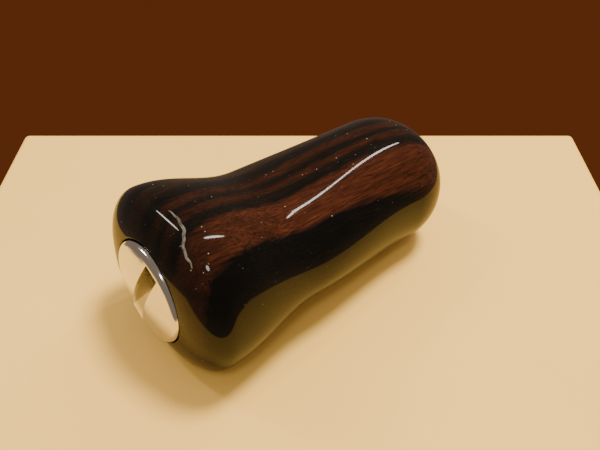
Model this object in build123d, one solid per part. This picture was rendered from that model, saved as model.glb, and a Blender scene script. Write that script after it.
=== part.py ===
from build123d import *
import os
from math import cos, pi, sin, sqrt

# A waisted hardwood grip that turns on two small ball bearings about a steel spindle.
# Millimetres. +X runs along the spin axis, out of the end that is fastened to an arm,
# +Z is up and Y is the grip's wide direction. The origin is the middle of the spindle's
# flat mounting face. Stations are counted from the grip's capped end plane.

os.makedirs("parts", exist_ok=True)

# ---- driving dimensions: wooden grip ----
GRIP_LENGTH = 36.0
MOUNT_FACE_PROUD = 0.2          # the spindle's flange stands out of the wood by this much
CAP_BULGE = (10.25, 8.75)       # half-width, half-height
WAIST = (8.9, 6.1)
ARM_BULGE = (7.6, 7.3)
CAP_BULGE_AT = 3.4              # stations of the two bulges and the waist
WAIST_AT = 14.9
ARM_BULGE_AT = 30.4
CAP_END_DROP = 5.4              # how far the outline falls from each bulge to its end plane
ARM_END_DROP = 2.9
SQUARENESS = (2.45, 2.2, 2.15)  # superellipse exponent at the cap bulge, waist and arm bulge
SECTION_POINTS = 32

# ---- driving dimensions: metal cap ----
CAP_RADIUS = 5.4
CAP_GAP = 0.12                  # open ring between the cap and the wood
CAP_FACE_RADIUS = 22.0          # the face is a shallow dome
CAP_APEX_AT = -0.95
CAP_RIM_ROUND = 0.6
CAP_SEAT_AT = 1.3               # underside of the cap's head
COIN_SLOT_WIDTH = 1.9
COIN_SLOT_DEPTH = 1.5
COIN_CUTTER_RADIUS = 11.0
COIN_SLOT_TILT = 26.0           # degrees from upright
THREAD_RADIUS = 4.5             # M9 x 0.75
THREAD_PITCH = 0.75
THREAD_DEPTH = 0.34
THREAD_CLEARANCE = 0.08
THREAD_TURNS = 3
CAP_SKIRT_BORE = 3.3
CAP_SKIRT_END_AT = 4.9

# ---- driving dimensions: bearings, 4 x 7 x 2.5 ----
BEARING_BORE = 2.0
BEARING_OUTSIDE = 3.5
BEARING_WIDTH = 2.5
OUTBOARD_BEARING_AT = 7.6       # station of the face nearer the cap
INBOARD_BEARING_AT = 31.5
INNER_LAND = 2.45
OUTER_LAND = 3.05
BALL_RADIUS = 0.45
BALL_COUNT = 7
FIRST_BALL_TURN = 0.3           # where the first ball stands, as a share of the ball spacing
GROOVE_CLEARANCE = 0.05
SHIELD_THICKNESS = 0.12
SHIELD_RECESS = 0.08
SHIELD_SEAT = 3.2
SHIELD_BORE = 2.56

# ---- driving dimensions: liner, spindle and its stack ----
LINER_HEAD_AT = 2.0
LINER_HEAD_END_AT = 6.4
LINER_HEAD_RADIUS = 5.2
LINER_RADIUS = 4.0
LINER_THREAD_END_AT = 5.4
RING_FLANGE_RADIUS = 4.2
RING_FLANGE_THICKNESS = 0.9
RING_BORE = 3.1
SPINDLE_RADIUS = 1.98
SPINDLE_TIP_AT = 7.8
FLANGE_RADIUS = 3.0
FLANGE_THICKNESS = 2.0
TAPPED_RADIUS = 1.25            # M2.5
TAPPED_DEPTH = 8.0
SPANNER_HOLE_RADIUS = 0.4
SPANNER_HOLE_OFFSET = 2.15
SPANNER_HOLE_DEPTH = 1.0
SHIM_RADIUS = 2.5
SCREW_HEAD_RADIUS = 2.25
SCREW_HEAD_HEIGHT = 1.7
SCREW_LENGTH = 7.5
HEX_ACROSS_FLATS = 2.0
WASHER_THICKNESS = 0.4
SPRING_WASHER_THICKNESS = 0.5

# ---- worked out from the above ----
MOUNT_STATION = GRIP_LENGTH + MOUNT_FACE_PROUD
PITCH_RADIUS = (INNER_LAND + OUTER_LAND) / 2
GROOVE_RADIUS = BALL_RADIUS + GROOVE_CLEARANCE
OUTBOARD_BEARING_END_AT = OUTBOARD_BEARING_AT + BEARING_WIDTH
INBOARD_BEARING_END_AT = INBOARD_BEARING_AT + BEARING_WIDTH
FLANGE_AT = MOUNT_STATION - FLANGE_THICKNESS
WASHER_AT = OUTBOARD_BEARING_AT - WASHER_THICKNESS
SPRING_WASHER_AT = WASHER_AT - SPRING_WASHER_THICKNESS
SCREW_HEAD_AT = SPRING_WASHER_AT - SCREW_HEAD_HEIGHT
RING_AT = GRIP_LENGTH - RING_FLANGE_THICKNESS


def x_at(station):
    """Row-frame X of a station along the grip."""
    return station - MOUNT_STATION


def turned(profile):
    """Solid of revolution about X from (station, radius) corners."""
    corners = [(x_at(station), radius) for station, radius in profile]
    return revolve(make_face(Polyline(*corners, close=True)), Axis.X)


def ring(bore, outside, start, end, chamfer=0.0):
    """Turned ring with its outer corners and bore corners chamfered."""
    c = chamfer
    if c == 0.0:
        return turned([(start, bore), (start, outside), (end, outside), (end, bore)])
    return turned([
        (start, bore + c), (start, outside - c), (start + c, outside), (end - c, outside),
        (end, outside - c), (end, bore + c), (end - c, bore), (start + c, bore),
    ])


def rod(radius, start, end):
    """Plain cylinder along X."""
    return turned([(start, 0), (start, radius), (end, radius), (end, 0)])


def write(node, shape):
    """Write one named piece to its STEP file."""
    shape.label = node
    export_step(shape, f"parts/{node}.step")


# ---- wooden grip ----
def ease(low, high, share):
    """Smooth cosine run from low to high."""
    return low + (high - low) * (1 - cos(pi * share)) / 2


def outline(station, which):
    """Half-width (which = 0) or half-height (1) of the grip at a station."""
    cap, waist, arm = CAP_BULGE[which], WAIST[which], ARM_BULGE[which]
    if station < CAP_BULGE_AT:
        share = (CAP_BULGE_AT - station) / CAP_BULGE_AT
        return cap - CAP_END_DROP * (1 - sqrt(max(0.0, 1 - share**2)))
    if station <= WAIST_AT:
        return ease(cap, waist, (station - CAP_BULGE_AT) / (WAIST_AT - CAP_BULGE_AT))
    if station <= ARM_BULGE_AT:
        return ease(waist, arm, (station - WAIST_AT) / (ARM_BULGE_AT - WAIST_AT))
    share = (station - ARM_BULGE_AT) / (GRIP_LENGTH - ARM_BULGE_AT)
    return arm - ARM_END_DROP * (1 - sqrt(max(0.0, 1 - share**2)))


def squareness(station):
    """Superellipse exponent of the section at a station."""
    cap, waist, arm = SQUARENESS
    if station <= CAP_BULGE_AT:
        return cap
    if station <= WAIST_AT:
        return ease(cap, waist, (station - CAP_BULGE_AT) / (WAIST_AT - CAP_BULGE_AT))
    if station <= ARM_BULGE_AT:
        return ease(waist, arm, (station - WAIST_AT) / (ARM_BULGE_AT - WAIST_AT))
    return arm


def section(station):
    """Closed superellipse face across the grip."""
    half_width, half_height = outline(station, 0), outline(station, 1)
    power = 2 / squareness(station)
    points = []
    for step in range(SECTION_POINTS):
        angle = 2 * pi * step / SECTION_POINTS
        across, up = cos(angle), sin(angle)
        y = half_width * (1 if across > 0 else -1) * abs(across) ** power
        z = half_height * (1 if up > 0 else -1) * abs(up) ** power
        points.append((y, z))
    return Plane.YZ.offset(x_at(station)) * make_face(Spline(*points, periodic=True))


def grip_blank():
    """Solid outer shape of the grip, lofted from end plane to end plane."""
    end_steps, middle_steps = 7, 14
    stations = [CAP_BULGE_AT * (1 - cos(pi / 2 * step / end_steps)) for step in range(end_steps)]
    span = ARM_BULGE_AT - CAP_BULGE_AT
    stations += [CAP_BULGE_AT + span * step / middle_steps for step in range(middle_steps)]
    rise = GRIP_LENGTH - ARM_BULGE_AT
    stations += [ARM_BULGE_AT + rise * sin(pi / 2 * step / end_steps) for step in range(end_steps + 1)]
    return loft([section(station) for station in stations])


def wood_body():
    bore = rod(CAP_RADIUS + CAP_GAP, -1.0, LINER_HEAD_AT)
    bore += rod(LINER_HEAD_RADIUS, LINER_HEAD_AT, LINER_HEAD_END_AT)
    bore += rod(LINER_RADIUS, LINER_HEAD_END_AT, RING_AT)
    bore += rod(RING_FLANGE_RADIUS, RING_AT, GRIP_LENGTH + 1.0)
    return grip_blank() - bore


# ---- liner and closing ring ----
def liner_sleeve():
    """Stepped sleeve glued in the wood: cap thread, two bearing seats, shoulders between."""
    return turned([
        (LINER_HEAD_AT, THREAD_RADIUS), (LINER_HEAD_AT, LINER_HEAD_RADIUS),
        (LINER_HEAD_END_AT, LINER_HEAD_RADIUS), (LINER_HEAD_END_AT, LINER_RADIUS),
        (RING_AT, LINER_RADIUS), (RING_AT, BEARING_OUTSIDE),
        (INBOARD_BEARING_AT, BEARING_OUTSIDE), (INBOARD_BEARING_AT, OUTER_LAND),
        (OUTBOARD_BEARING_END_AT, OUTER_LAND), (OUTBOARD_BEARING_END_AT, BEARING_OUTSIDE),
        (LINER_THREAD_END_AT, BEARING_OUTSIDE), (LINER_THREAD_END_AT, THREAD_RADIUS),
    ])


def inboard_ring():
    """Flanged ring pressed in the liner's end, closing the bore around the spindle."""
    spigot_at = INBOARD_BEARING_END_AT + 0.1
    return turned([
        (spigot_at, RING_BORE), (spigot_at, BEARING_OUTSIDE), (RING_AT, BEARING_OUTSIDE),
        (RING_AT, RING_FLANGE_RADIUS), (GRIP_LENGTH - 0.15, RING_FLANGE_RADIUS),
        (GRIP_LENGTH, RING_FLANGE_RADIUS - 0.15), (GRIP_LENGTH, RING_BORE + 0.15),
        (GRIP_LENGTH - 0.15, RING_BORE),
    ])


# ---- cap ----
def thread_profile(start):
    """Corners of the skirt's thread, as rings of ridges, from its neck to its end."""
    crest = THREAD_RADIUS - THREAD_CLEARANCE
    root = crest - THREAD_DEPTH
    corners = []
    for turn in range(THREAD_TURNS):
        base = start + THREAD_PITCH * turn
        corners += [(base, root), (base + 0.30, crest), (base + 0.40, crest), (base + 0.70, root)]
    return corners, root


def end_cap():
    """Domed head with a coin slot, on a hollow threaded skirt."""
    neck_end = LINER_HEAD_AT + 0.35
    ridges, root = thread_profile(neck_end)
    floor_at = LINER_HEAD_AT + 0.2
    edge_at = CAP_APEX_AT + CAP_FACE_RADIUS - sqrt(CAP_FACE_RADIUS**2 - CAP_RADIUS**2)
    middle = CAP_RADIUS / 2
    middle_at = CAP_APEX_AT + CAP_FACE_RADIUS - sqrt(CAP_FACE_RADIUS**2 - middle**2)
    face_line = ThreePointArc(
        (x_at(CAP_APEX_AT), 0), (x_at(middle_at), middle), (x_at(edge_at), CAP_RADIUS))
    corners = [(edge_at, CAP_RADIUS), (CAP_SEAT_AT, CAP_RADIUS), (CAP_SEAT_AT, root)]
    corners += ridges
    corners += [
        (CAP_SKIRT_END_AT, root), (CAP_SKIRT_END_AT, CAP_SKIRT_BORE),
        (floor_at, CAP_SKIRT_BORE), (floor_at, 0), (CAP_APEX_AT, 0),
    ]
    rest = Polyline(*[(x_at(station), radius) for station, radius in corners])
    blank = revolve(make_face([face_line] + list(rest.edges())), Axis.X)
    rim = blank.edges().filter_by(GeomType.CIRCLE).sort_by(
        lambda edge: abs(edge.radius - CAP_RADIUS) + abs(edge.arc_center.X - x_at(edge_at)))[0]
    blank = fillet(rim, CAP_RIM_ROUND)
    centre_at = CAP_APEX_AT + COIN_SLOT_DEPTH - COIN_CUTTER_RADIUS
    cutter = Cylinder(COIN_CUTTER_RADIUS, COIN_SLOT_WIDTH)
    return blank - Pos(x_at(centre_at), 0, 0) * Rot(COIN_SLOT_TILT - 90, 0, 0) * cutter


def cap_o_ring():
    """Seal squeezed between the cap's head and the liner."""
    gap = LINER_HEAD_AT - CAP_SEAT_AT
    middle = (CAP_SEAT_AT + LINER_HEAD_AT) / 2
    section_face = Pos(x_at(middle), 4.9) * RectangleRounded(gap - 0.08, 0.78, 0.28)
    return revolve(Plane.XY * section_face, Axis.X)


# ---- bearings ----
def groove(start):
    """Ball track shared by a bearing's two races."""
    middle = x_at(start + BEARING_WIDTH / 2)
    return Pos(middle, 0, 0) * Rot(0, 90, 0) * Torus(PITCH_RADIUS, GROOVE_RADIUS)


def outer_race(start):
    end = start + BEARING_WIDTH
    seat_depth = SHIELD_RECESS + SHIELD_THICKNESS
    body = ring(OUTER_LAND, BEARING_OUTSIDE, start, end)
    for seat_start in (start, end - seat_depth):
        body -= rod(SHIELD_SEAT, seat_start, seat_start + seat_depth)
    return body - groove(start)


def inner_race(start):
    return ring(BEARING_BORE, INNER_LAND, start, start + BEARING_WIDTH) - groove(start)


def ball_places(start):
    """Places around the pitch circle, each with its own Z pointing away from the axis."""
    middle = x_at(start + BEARING_WIDTH / 2)
    for number in range(BALL_COUNT):
        turn = 360 * (number + FIRST_BALL_TURN) / BALL_COUNT
        yield Pos(middle, 0, 0) * Rot(turn, 0, 0) * Pos(0, 0, PITCH_RADIUS)


def balls(start):
    return Compound(children=[place * Sphere(BALL_RADIUS) for place in ball_places(start)])


def cage(start):
    """Crown cage: one closed side, with a pocket around each ball."""
    middle = start + BEARING_WIDTH / 2
    body = ring(INNER_LAND + 0.13, OUTER_LAND - 0.13, middle - 0.70, middle + 0.35)
    for place in ball_places(start):
        body -= place * Cylinder(GROOVE_RADIUS, OUTER_LAND - INNER_LAND)
    return body


def shield(start):
    return ring(SHIELD_BORE, SHIELD_SEAT, start, start + SHIELD_THICKNESS)


def write_bearing(prefix, start):
    """Write one bearing's pieces, each in its own node."""
    cap_side = start + SHIELD_RECESS
    arm_side = start + BEARING_WIDTH - SHIELD_RECESS - SHIELD_THICKNESS
    write(f"{prefix}_outer_race", outer_race(start))
    write(f"{prefix}_inner_race", inner_race(start))
    write(f"{prefix}_balls", balls(start))
    write(f"{prefix}_cage", cage(start))
    write(f"{prefix}_cap_side_shield", shield(cap_side))
    write(f"{prefix}_arm_side_shield", shield(arm_side))


# ---- spindle and the stack held on it ----
def spindle():
    """Flanged shaft, tapped at both ends, with two spanner holes in its mounting face."""
    body = turned([
        (SPINDLE_TIP_AT, 0), (SPINDLE_TIP_AT, SPINDLE_RADIUS - 0.2),
        (SPINDLE_TIP_AT + 0.2, SPINDLE_RADIUS), (FLANGE_AT, SPINDLE_RADIUS),
        (FLANGE_AT, FLANGE_RADIUS), (MOUNT_STATION - 0.15, FLANGE_RADIUS),
        (MOUNT_STATION, FLANGE_RADIUS - 0.15), (MOUNT_STATION, 0),
    ])
    body -= rod(TAPPED_RADIUS, SPINDLE_TIP_AT, SPINDLE_TIP_AT + TAPPED_DEPTH)
    body -= rod(TAPPED_RADIUS, MOUNT_STATION - TAPPED_DEPTH, MOUNT_STATION)
    spanner_hole = rod(SPANNER_HOLE_RADIUS, MOUNT_STATION - SPANNER_HOLE_DEPTH, MOUNT_STATION)
    for side in (-1, 1):
        body -= Pos(0, side * SPANNER_HOLE_OFFSET, 0) * spanner_hole
    return body


def spacer_tube():
    return ring(SPINDLE_RADIUS + 0.05, 2.6, OUTBOARD_BEARING_END_AT + 0.25, INBOARD_BEARING_AT, 0.1)


def retaining_screw():
    """Socket screw that holds the stack on the spindle."""
    shank_radius = TAPPED_RADIUS - 0.04
    head_end = SCREW_HEAD_AT + SCREW_HEAD_HEIGHT
    body = turned([
        (SCREW_HEAD_AT, 0), (SCREW_HEAD_AT, SCREW_HEAD_RADIUS - 0.25),
        (SCREW_HEAD_AT + 0.25, SCREW_HEAD_RADIUS), (head_end, SCREW_HEAD_RADIUS),
        (head_end, shank_radius), (head_end + SCREW_LENGTH - 0.3, shank_radius),
        (head_end + SCREW_LENGTH, shank_radius - 0.3), (head_end + SCREW_LENGTH, 0),
    ])
    socket_face = Plane.YZ.offset(x_at(SCREW_HEAD_AT)) * RegularPolygon(
        HEX_ACROSS_FLATS / 2, 6, major_radius=False)
    return body - extrude(socket_face, SCREW_HEAD_HEIGHT * 0.6)


def spring_washer():
    body = ring(1.3, 2.1, SPRING_WASHER_AT, WASHER_AT)
    slit = Pos(x_at(SPRING_WASHER_AT), 0, 1.7) * Rot(0, 0, 20) * Box(3.0, 0.25, 1.2)
    return body - slit


write("wood_body", wood_body())
write("liner_sleeve", liner_sleeve())
write("inboard_ring", inboard_ring())
write("end_cap", end_cap())
write("cap_o_ring", cap_o_ring())
write_bearing("outboard", OUTBOARD_BEARING_AT)
write_bearing("inboard", INBOARD_BEARING_AT)
write("spindle", spindle())
write("spacer_tube", spacer_tube())
write("outboard_shim", ring(SPINDLE_RADIUS + 0.04, SHIM_RADIUS, OUTBOARD_BEARING_END_AT,
                            OUTBOARD_BEARING_END_AT + 0.25))
write("inboard_shim", ring(SPINDLE_RADIUS + 0.04, SHIM_RADIUS, INBOARD_BEARING_END_AT, FLANGE_AT))
write("plain_washer", ring(1.35, SHIM_RADIUS, WASHER_AT, OUTBOARD_BEARING_AT))
write("spring_washer", spring_washer())
write("retaining_screw", retaining_screw())
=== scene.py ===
from math import atan2, cos, pi, radians, sin, sqrt

import bmesh
import bpy
from bpy.props import FloatProperty, FloatVectorProperty, IntProperty, PointerProperty
from mathutils import Matrix, Vector


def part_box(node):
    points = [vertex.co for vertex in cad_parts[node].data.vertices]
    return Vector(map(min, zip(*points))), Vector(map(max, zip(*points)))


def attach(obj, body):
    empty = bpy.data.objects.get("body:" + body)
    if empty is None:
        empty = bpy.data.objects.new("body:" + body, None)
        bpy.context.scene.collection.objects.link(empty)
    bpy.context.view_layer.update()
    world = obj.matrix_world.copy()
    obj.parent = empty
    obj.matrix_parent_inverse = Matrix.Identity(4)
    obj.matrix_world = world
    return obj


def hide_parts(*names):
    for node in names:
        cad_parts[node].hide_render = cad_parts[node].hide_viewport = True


# A waisted hardwood grip under clear lacquer, with a domed coin-slot cap in one end and a
# flanged spindle in the other. The spin axis is X. Stations are counted along it from the
# grip's capped end, and a turn is counted from +Y towards +Z. All sizes are in metres.

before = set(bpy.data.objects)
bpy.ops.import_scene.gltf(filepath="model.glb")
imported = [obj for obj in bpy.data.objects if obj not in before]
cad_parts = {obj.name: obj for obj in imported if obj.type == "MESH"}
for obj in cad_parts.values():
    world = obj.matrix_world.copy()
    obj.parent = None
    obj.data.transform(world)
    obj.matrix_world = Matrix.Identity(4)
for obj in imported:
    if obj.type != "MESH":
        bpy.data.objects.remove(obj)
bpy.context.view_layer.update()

bl_info = {
    "name": "Hardwood Edge Slicker",
    "version": (1, 0, 0),
    "blender": (4, 5, 0),
    "location": "View3D > Sidebar > Slicker",
    "description": "Builds the looks of a revolving hardwood grip around its packed model",
    "category": "Add Mesh",
}

MM = 0.001
MERGE_DISTANCE = 0.0005 * MM
TOUCHING = 0.001 * MM           # points nearer than this to a radius count as on it
FLAT_ANGLE = radians(32)        # edges sharper than this stay crisp

WOOD_LOW, WOOD_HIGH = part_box("wood_body")
CAP_LOW, CAP_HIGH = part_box("end_cap")
SEAL_LOW, SEAL_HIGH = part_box("cap_o_ring")
LINER_LOW, LINER_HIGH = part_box("liner_sleeve")
RING_LOW, RING_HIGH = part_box("inboard_ring")
SPINDLE_LOW, SPINDLE_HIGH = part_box("spindle")


# ---- sizes and colours that a user would change ----
def size(name, description, default):
    """A length property in metres."""
    return FloatProperty(name=name, description=description, default=default, unit="LENGTH",
                         subtype="DISTANCE", precision=5, min=0.0)


def colour(name, description, default):
    """A linear colour property."""
    return FloatVectorProperty(name=name, description=description, default=default, size=3,
                               subtype="COLOR", min=0.0, max=1.0)


class SlickerGripSizes(bpy.types.PropertyGroup):
    """The outline of the wooden grip"""
    length: size("Length", "Length of the wood along the spin axis", 36.0 * MM)
    cap_half_width: size("Cap bulge half-width", "Half the width of the capped bulge", 10.25 * MM)
    cap_half_height: size("Cap bulge half-height", "Half the height of the capped bulge", 8.75 * MM)
    waist_half_width: size("Waist half-width", "Half the width of the waist", 8.9 * MM)
    waist_half_height: size("Waist half-height", "Half the height of the waist", 6.1 * MM)
    arm_half_width: size("Arm bulge half-width", "Half the width of the far bulge", 7.6 * MM)
    arm_half_height: size("Arm bulge half-height", "Half the height of the far bulge", 7.3 * MM)
    cap_bulge_at: size("Cap bulge station", "Station of the capped bulge", 3.4 * MM)
    waist_at: size("Waist station", "Station of the waist", 14.9 * MM)
    arm_bulge_at: size("Arm bulge station", "Station of the far bulge", 30.4 * MM)
    cap_end_drop: size("Cap end drop", "Fall of the outline at the capped end", 5.4 * MM)
    arm_end_drop: size("Arm end drop", "Fall of the outline at the far end", 2.9 * MM)
    recess_radius: size("Recess radius", "Radius of the recess for the cap", 5.52 * MM)
    points_round: IntProperty(name="Points round", description="Points round each ring",
                              default=160, min=32, max=256)


class SlickerCapSizes(bpy.types.PropertyGroup):
    """The metal cap"""
    radius: size("Radius", "Radius of the cap's head", 5.4 * MM)
    face_radius: size("Face radius", "Radius of the domed face", 22.0 * MM)
    rim_round: size("Rim round", "Rounding of the head's rim", 0.6 * MM)
    slot_width: size("Slot width", "Width of the coin slot", 1.9 * MM)
    slot_depth: size("Slot depth", "Depth of the coin slot at its middle", 1.5 * MM)
    cutter_radius: size("Cutter radius", "Radius of the slot's curved floor", 11.0 * MM)
    slot_tilt: FloatProperty(name="Slot tilt", description="Lean of the slot from upright",
                             default=radians(26), subtype="ANGLE", unit="ROTATION")
    skirt_bore: size("Skirt bore", "Inside radius of the threaded skirt", 3.3 * MM)
    thread_pitch: size("Thread pitch", "Pitch of the skirt's thread", 0.75 * MM)


class SlickerFinishes(bpy.types.PropertyGroup):
    """The colours of the finishes"""
    wood_black: colour("Wood, black", "Darkest growth bands", (0.0015, 0.0012, 0.0010))
    wood_dark: colour("Wood, dark", "Dark growth bands", (0.0044, 0.0025, 0.0017))
    wood_dim: colour("Wood, dim red", "Narrow reddish growth bands", (0.0195, 0.0050, 0.0016))
    wood_red: colour("Wood, red", "Wide reddish growth band", (0.036, 0.0088, 0.0030))
    wood_brown: colour("Wood, brown", "Yellow-brown growth bands", (0.0155, 0.0060, 0.0022))
    cap_steel: colour("Cap", "Polished metal of the cap", (0.80, 0.78, 0.75))
    dust: colour("Dust", "Dust and scratches in the lacquer", (0.42, 0.36, 0.27))
    board: colour("Board", "Pale board under the object", (0.98, 0.60, 0.14))


class SlickerStage(bpy.types.PropertyGroup):
    """The board, the lamps and the camera"""
    heading: FloatProperty(name="Heading", description="Turn of the spin axis on the board",
                           default=radians(39.55), subtype="ANGLE", unit="ROTATION")
    camera_pitch: FloatProperty(name="Camera pitch", description="How far the camera looks down",
                                default=radians(41.36), subtype="ANGLE", unit="ROTATION")
    camera_distance: size("Camera distance", "From the camera to the grip's middle", 76.9 * MM)
    lens: FloatProperty(name="Lens", description="Focal length in millimetres", default=42.0)
    key_power: FloatProperty(name="Key power", description="Power of the main lamp",
                             default=1.85, unit="POWER")
    long_power: FloatProperty(name="Long lamp power", description="Power of the narrow lamp",
                              default=0.2, unit="POWER")
    front_power: FloatProperty(name="Front lamp power", description="Power of the small near lamp",
                               default=0.2, unit="POWER")
    fill_power: FloatProperty(name="Fill power", description="Power of the lamp on the other side",
                              default=0.28, unit="POWER")


# ---- the grip's surface as a formula ----
CAP_SQUARENESS, WAIST_SQUARENESS, ARM_SQUARENESS = 2.45, 2.2, 2.15
GRIP_END_X = WOOD_HIGH.x        # the far end of the wood


def ease(low, high, share):
    """Smooth cosine run from low to high."""
    return low + (high - low) * (1 - cos(pi * share)) / 2


class Skin:
    """The lacquered surface: a waisted outline with superellipse sections."""

    def __init__(self, sizes):
        self.sizes = sizes
        self.half_widths = (sizes.cap_half_width, sizes.waist_half_width, sizes.arm_half_width)
        self.half_heights = (sizes.cap_half_height, sizes.waist_half_height, sizes.arm_half_height)

    def x_at(self, station):
        """The frame's X of a station."""
        return GRIP_END_X - self.sizes.length + station

    def outline(self, station, halves):
        """Half-width or half-height at a station."""
        cap, waist, arm = halves
        sizes = self.sizes
        if station < sizes.cap_bulge_at:
            share = (sizes.cap_bulge_at - station) / sizes.cap_bulge_at
            return cap - sizes.cap_end_drop * (1 - sqrt(max(0.0, 1 - share**2)))
        if station > sizes.arm_bulge_at:
            share = (station - sizes.arm_bulge_at) / (sizes.length - sizes.arm_bulge_at)
            return arm - sizes.arm_end_drop * (1 - sqrt(max(0.0, 1 - share**2)))
        return self.between(station, cap, waist, arm)

    def between(self, station, cap, waist, arm):
        """Smooth run of a value from the capped bulge to the waist to the far bulge."""
        sizes = self.sizes
        if station <= sizes.waist_at:
            rise = sizes.waist_at - sizes.cap_bulge_at
            return ease(cap, waist, max(0.0, (station - sizes.cap_bulge_at) / rise))
        rise = sizes.arm_bulge_at - sizes.waist_at
        return ease(waist, arm, min(1.0, (station - sizes.waist_at) / rise))

    def radius(self, station, turn):
        """Distance from the spin axis to the surface."""
        power = self.between(station, CAP_SQUARENESS, WAIST_SQUARENESS, ARM_SQUARENESS)
        across = abs(cos(turn) / self.outline(station, self.half_widths)) ** power
        up = abs(sin(turn) / self.outline(station, self.half_heights)) ** power
        return (across + up) ** (-1 / power)

    def point(self, station, turn, lift=0.0):
        """A point on the surface, or lifted off it."""
        return round_point(self.x_at(station), self.radius(station, turn) + lift, turn)

    def cap_rise_station(self, angle):
        """Station on the capped end's rounding, from 0 at the bulge to pi / 2 at the end."""
        return self.sizes.cap_bulge_at * (1 - sin(angle))

    def recess_angle(self, turn):
        """Where the capped end's rounding comes down to the recess."""
        low, high = 0.0, pi / 2
        for _ in range(32):
            middle = (low + high) / 2
            if self.radius(self.cap_rise_station(middle), turn) > self.sizes.recess_radius:
                low = middle
            else:
                high = middle
        return low


def round_point(x, radius, turn):
    """A point at a distance from the spin axis."""
    return Vector((x, radius * cos(turn), radius * sin(turn)))


# ---- modelling by rings ----
def deselect():
    """Leave edit mode with nothing selected."""
    if bpy.context.object and bpy.context.object.mode != "OBJECT":
        bpy.ops.object.mode_set(mode="OBJECT")
    bpy.ops.object.select_all(action="DESELECT")


def activate(piece):
    """Leave one object selected and active."""
    deselect()
    piece.select_set(True)
    bpy.context.view_layer.objects.active = piece


def name_piece(name):
    """Name the new active object, and put its place into its mesh."""
    piece = bpy.context.object
    piece.name = name
    piece.data.name = name
    bpy.ops.object.transform_apply(location=True, rotation=True, scale=True)
    return piece


def start_ring(name, x, radius, points, fill="NOTHING"):
    """Add a circle across the spin axis and open it in edit mode, selected."""
    deselect()
    bpy.ops.mesh.primitive_circle_add(vertices=points, radius=radius, fill_type=fill,
                                      location=(x, 0, 0), rotation=(0, pi / 2, 0))
    piece = name_piece(name)
    bpy.ops.object.mode_set(mode="EDIT")
    bpy.ops.mesh.select_all(action="SELECT")
    return piece


def set_selected(piece, place):
    """Set each selected point from its turn about the spin axis."""
    mesh = bmesh.from_edit_mesh(piece.data)
    for vert in mesh.verts:
        if vert.select:
            vert.co = place(atan2(vert.co.z, vert.co.y))
    bmesh.update_edit_mesh(piece.data)


def pull_ring(piece, place):
    """Extrude the selected ring, and set each new point from its turn."""
    bpy.ops.mesh.extrude_region_move()
    set_selected(piece, place)


def pull_round(piece, corners):
    """Extrude the selected ring through (x, radius) corners."""
    for x, radius in corners:
        pull_ring(piece, lambda turn: round_point(x, radius, turn))


def select_where(piece, test, kind="VERT"):
    """Select what passes a test, in edit mode. An edge or face passes if all its points do."""
    bpy.ops.mesh.select_mode(type=kind)
    bpy.ops.mesh.select_all(action="DESELECT")
    mesh = bmesh.from_edit_mesh(piece.data)
    parts = {"VERT": mesh.verts, "EDGE": mesh.edges, "FACE": mesh.faces}[kind]
    for part in parts:
        points = [part] if kind == "VERT" else part.verts
        if all(test(vert.co) for vert in points):
            part.select_set(True)
    bmesh.update_edit_mesh(piece.data)


def close_piece(piece):
    """Merge the seams and point the faces outwards, in edit mode."""
    bpy.ops.mesh.select_mode(type="VERT")
    bpy.ops.mesh.select_all(action="SELECT")
    bpy.ops.mesh.remove_doubles(threshold=MERGE_DISTANCE)
    bpy.ops.mesh.normals_make_consistent(inside=False)


def finish_piece(piece, material, body, slot, *nodes):
    """Shade a piece, give it its finish and tie it to the frame."""
    activate(piece)
    bpy.ops.object.shade_smooth_by_angle(angle=FLAT_ANGLE)
    piece.data.materials.clear()
    piece.data.materials.append(material)
    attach(piece, body)
    if nodes:
        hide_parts(*nodes)


def apply_modifier(piece, kind, **settings):
    """Add a modifier with its settings and apply it."""
    activate(piece)
    modifier = piece.modifiers.new(kind.title(), kind)
    for setting, value in settings.items():
        setattr(modifier, setting, value)
    bpy.ops.object.modifier_apply(modifier=modifier.name)


def turned_piece(name, corners, points, edge):
    """A closed turned piece from (x, radius) corners, with its sharp edges broken."""
    piece = start_ring(name, *corners[0], points)
    pull_round(piece, corners[1:] + corners[:1])
    close_piece(piece)
    bpy.ops.object.mode_set(mode="OBJECT")
    apply_modifier(piece, "BEVEL", width=edge, segments=3, limit_method="ANGLE",
                   angle_limit=FLAT_ANGLE)
    return piece


# a thread ridge's half-widths in pitches, and how far it is let into the wall, in ridge heights
RIDGE_BASE, RIDGE_TOP, RIDGE_SUNK = 0.40, 0.08, 0.06
RIDGE_LEAST = 0.02              # what is left of the ridge's height at its ends


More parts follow.
